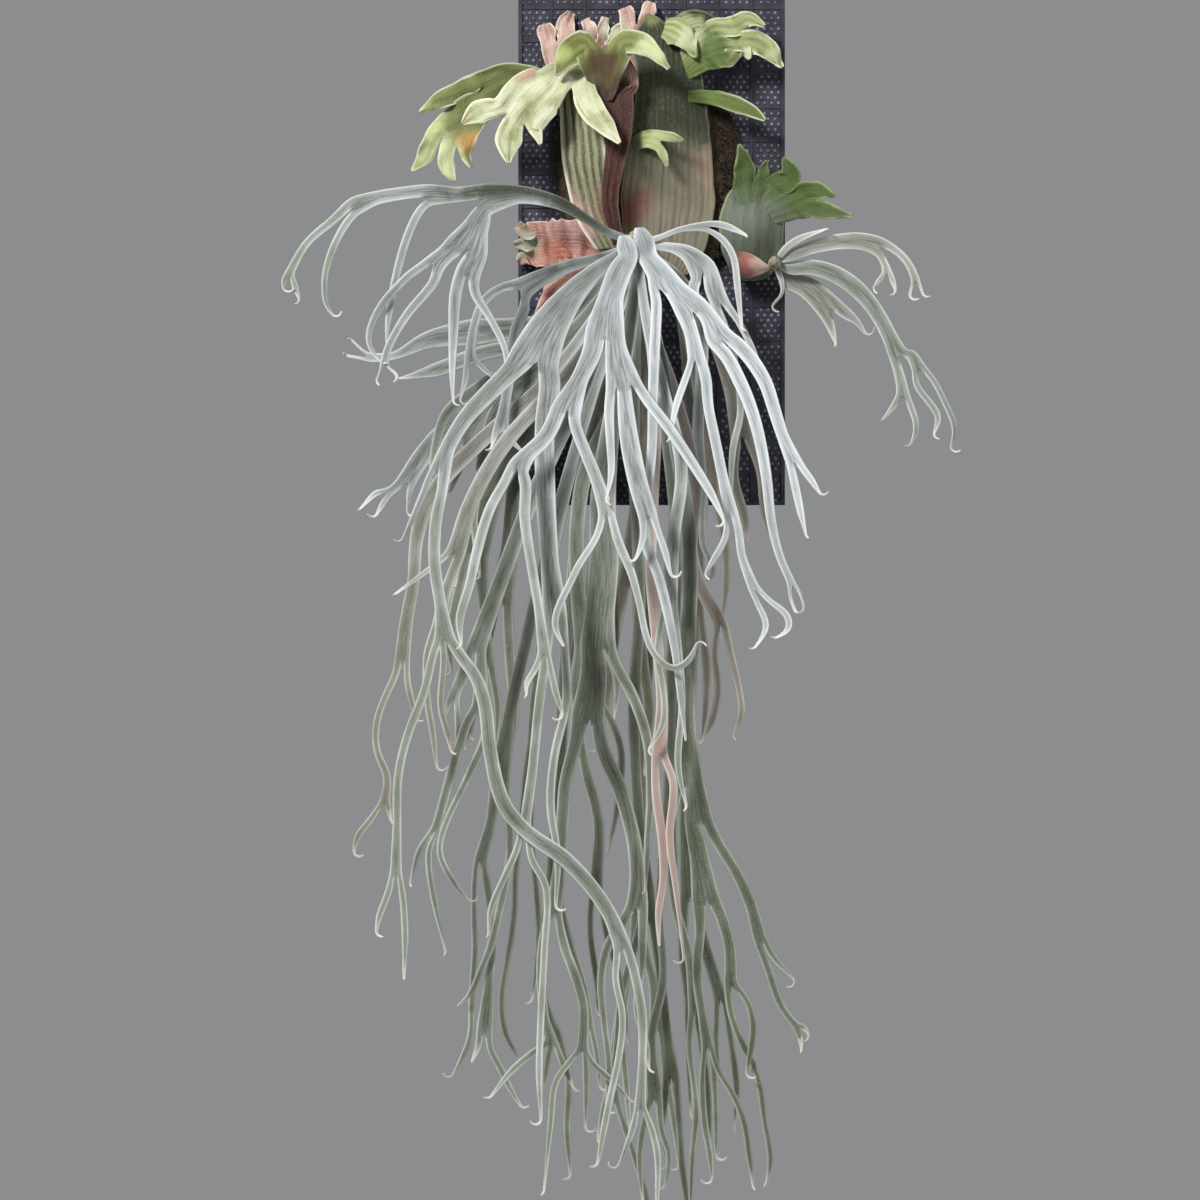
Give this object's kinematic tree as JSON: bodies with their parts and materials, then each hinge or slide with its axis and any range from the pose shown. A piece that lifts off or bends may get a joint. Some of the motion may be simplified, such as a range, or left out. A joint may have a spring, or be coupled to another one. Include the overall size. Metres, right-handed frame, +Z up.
{
  "type": "mounted staghorn fern",
  "caption": "Wall-mounted staghorn fern on a net-faced board, with clasping shield fronds and long forked hanging fronds.",
  "frame": {"origin": "centre of the board's flat back face, which lies against the wall", "axes": "+Z up along the board, -Y out of the wall towards the viewer, +X to the viewer's right"},
  "size_m": [0.6763, 0.3165, 1.3176],
  "materials": {
    "board": "dark weathered timber",
    "net": "black moulded net with worn grey knots",
    "moss": "dry fibrous moss and roots",
    "rhizome": "pale felted scales",
    "bud": "soft pink bud",
    "shield": "felted green blade with pale edges",
    "old_shield": "papery, pink to red-brown",
    "frond": "silvery felt over grey-green",
    "young_frond": "silvery felt over green"
  },
  "bodies": {
    "root": {"mount_board": "board", "net_panel": "net", "moss_root_mound": "moss", "crown_rhizome": "rhizome", "pup_rhizome": "rhizome", "pup_bud": "bud", "old_shield_left_upper": "old_shield", "old_shield_left_lower": "old_shield", "old_shield_top_left": "old_shield", "old_shield_top": "old_shield", "shield_dry_fold": "old_shield", "shield_left_rear": "shield", "shield_centre": "shield", "shield_left": "shield", "shield_right": "shield", "pup_shield": "shield", "frond_low_left": "frond", "frond_low_centre": "frond", "frond_low_right": "frond", "frond_shade_left": "frond", "frond_shade_centre": "frond", "frond_shade_right": "frond", "frond_back_left": "frond", "frond_back_centre": "frond", "frond_back_right": "frond", "frond_deep_left": "frond", "frond_deep_centre": "frond", "frond_deep_right": "frond", "frond_left_broad": "frond", "frond_left_outlier": "frond", "frond_lower_left": "frond", "frond_left_inner": "frond", "frond_left_long": "frond", "frond_left_grey": "frond", "frond_left_pink": "frond", "frond_centre_dark": "frond", "frond_right_inner": "frond", "frond_mid_left": "frond", "frond_long_centre": "frond", "frond_long_right": "frond", "frond_mid_right": "frond", "frond_right_broad": "frond", "frond_right_arc": "frond", "frond_pink_centre": "frond", "frond_left_arch": "frond", "frond_left_sweep": "frond", "frond_front_right": "frond", "frond_front_left": "frond", "pup_frond_wedge": "young_frond", "pup_frond_hook": "young_frond", "pup_frond_short": "young_frond", "pup_frond_long": "young_frond", "pup_frond_upper": "young_frond"}
  },
  "joints": []
}
